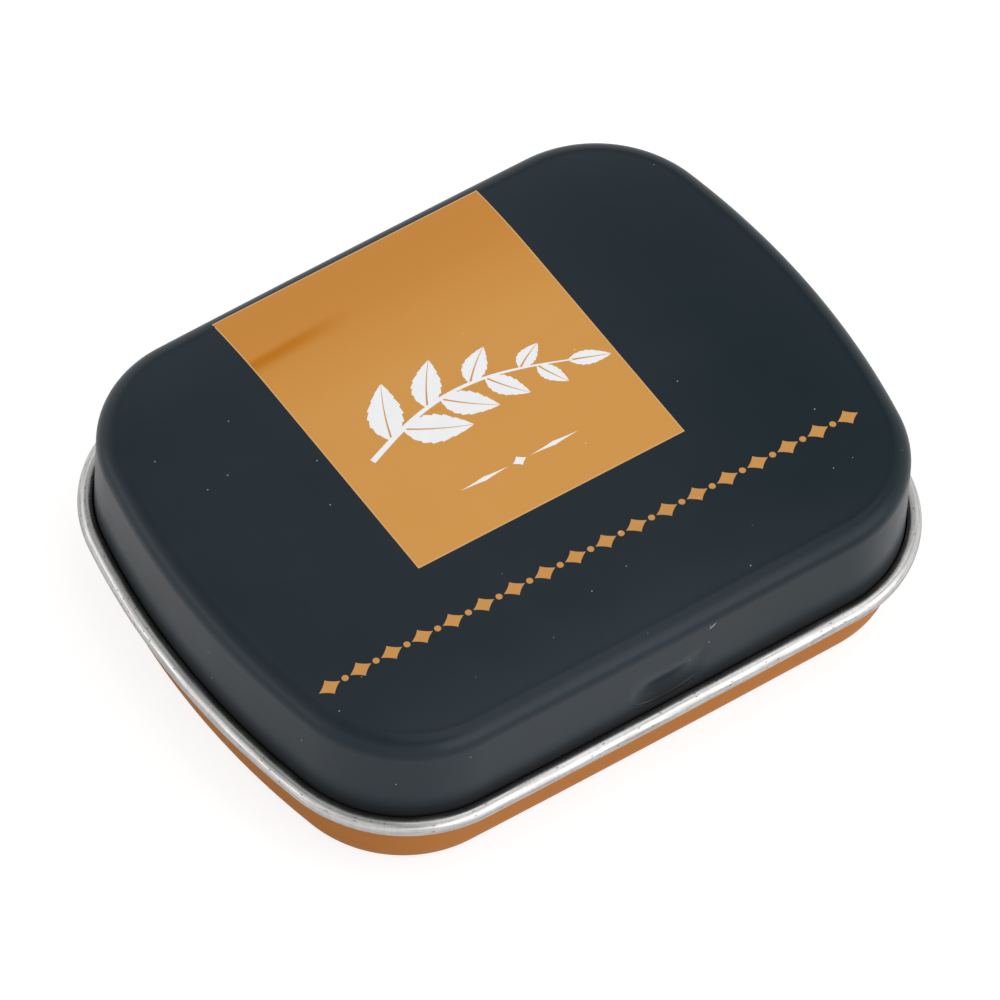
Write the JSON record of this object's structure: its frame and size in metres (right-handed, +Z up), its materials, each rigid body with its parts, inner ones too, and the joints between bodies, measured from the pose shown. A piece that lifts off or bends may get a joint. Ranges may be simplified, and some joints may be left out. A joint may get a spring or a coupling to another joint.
{
  "type": "mint tin",
  "caption": "Small shut pocket tin for mints: dark satin lid with a curled bare rim and a printed copper panel, on a copper base with a strap hinge at the back.",
  "frame": {"origin": "middle of the underside, on the surface that the tin stands on", "axes": "+X along the length, +Y towards the hinge at the back, +Z up"},
  "size_m": [0.062, 0.0489, 0.017],
  "materials": {
    "lid_paint": "satin",
    "base_print": "satin",
    "bare_tinplate": "brushed",
    "panel_print": "gloss",
    "white_print": "satin"
  },
  "bodies": {
    "root": {"lid": "lid_paint", "base": "base_print"}
  },
  "joints": []
}
